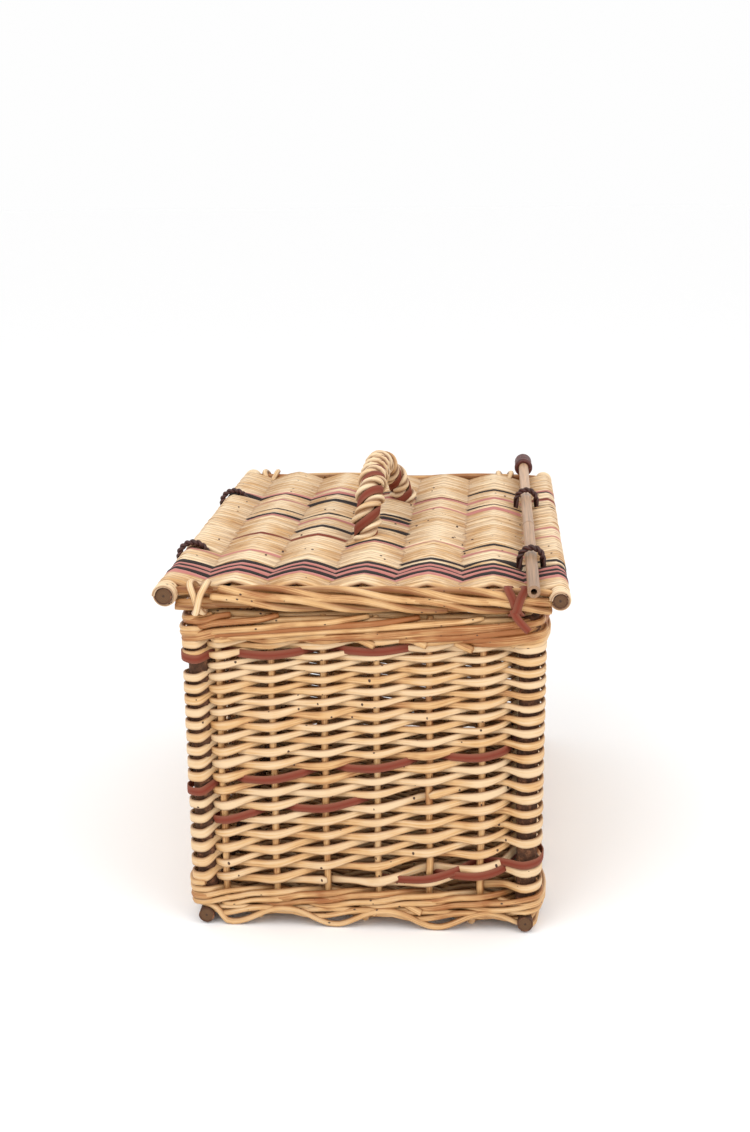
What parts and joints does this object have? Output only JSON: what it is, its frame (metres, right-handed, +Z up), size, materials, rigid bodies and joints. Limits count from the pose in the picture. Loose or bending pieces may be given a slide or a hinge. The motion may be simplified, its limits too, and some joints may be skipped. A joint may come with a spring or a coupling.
{
  "type": "lidded wicker hamper",
  "caption": "Woven willow hamper with a hinged woven lid, a rope-wrapped arch handle, cord loops and a sliding bamboo latch stick.",
  "frame": {"origin": "on the floor under the middle of the basket's body", "axes": "+Z up, +X towards the side that latches, +Y along the long sides towards the latch stick's knob"},
  "size_m": [0.335, 0.516, 0.3573],
  "materials": {
    "peeled_willow": "peeled rods, satin",
    "bark_willow": "bark left on, matte",
    "red_strip": "dyed flat strip, matte",
    "dark_cord": "twisted cord, matte",
    "wound_knob": "wound lace, satin",
    "bamboo_cane": "dry cane, satin"
  },
  "bodies": {
    "basket": {"base_inner_sticks": "peeled_willow", "foot_border": "peeled_willow", "base_weave": "peeled_willow", "stakes_front": "peeled_willow", "stakes_rear": "peeled_willow", "stakes_left": "peeled_willow", "stakes_right": "peeled_willow", "bottom_wale": "peeled_willow", "side_weave": "peeled_willow", "top_wale": "peeled_willow", "rim_border": "peeled_willow", "base_stick_left": "bark_willow", "base_stick_right": "bark_willow", "corner_post_front_left": "bark_willow", "corner_post_front_right": "bark_willow", "corner_post_rear_left": "bark_willow", "corner_post_rear_right": "bark_willow", "red_strip_top": "red_strip", "red_strip_middle": "red_strip", "red_strip_low": "red_strip", "red_strip_corner_high": "red_strip", "red_strip_corner_low": "red_strip", "latch_loop_front": "dark_cord", "latch_loop_rear": "dark_cord", "hinge_loop_front": "dark_cord", "hinge_loop_rear": "dark_cord"},
    "lid": {"lid_stick_left": "bark_willow", "lid_stick_right": "bark_willow", "lid_inner_sticks": "peeled_willow", "lid_weave": "peeled_willow", "lid_border_front": "peeled_willow", "lid_border_rear": "peeled_willow", "tie_front_left": "peeled_willow", "tie_front_right": "red_strip", "tie_rear_left": "peeled_willow", "tie_rear_right": "peeled_willow", "handle_core": "peeled_willow", "handle_rope": "peeled_willow", "handle_strip": "red_strip"},
    "latch": {"latch_stick": "bamboo_cane", "latch_collar": "wound_knob", "latch_knob": "wound_knob"}
  },
  "joints": [
    {"name": "lid_hinge", "type": "hinge", "parent": "basket", "child": "lid", "pos_m": [-0.156, 0, 0.289], "axis": [0, -1, 0], "range_deg": [0, 110]},
    {"name": "latch_slide", "type": "slide", "parent": "basket", "child": "latch", "axis": [0, 1, 0], "range_m": [0, 0.485]}
  ]
}
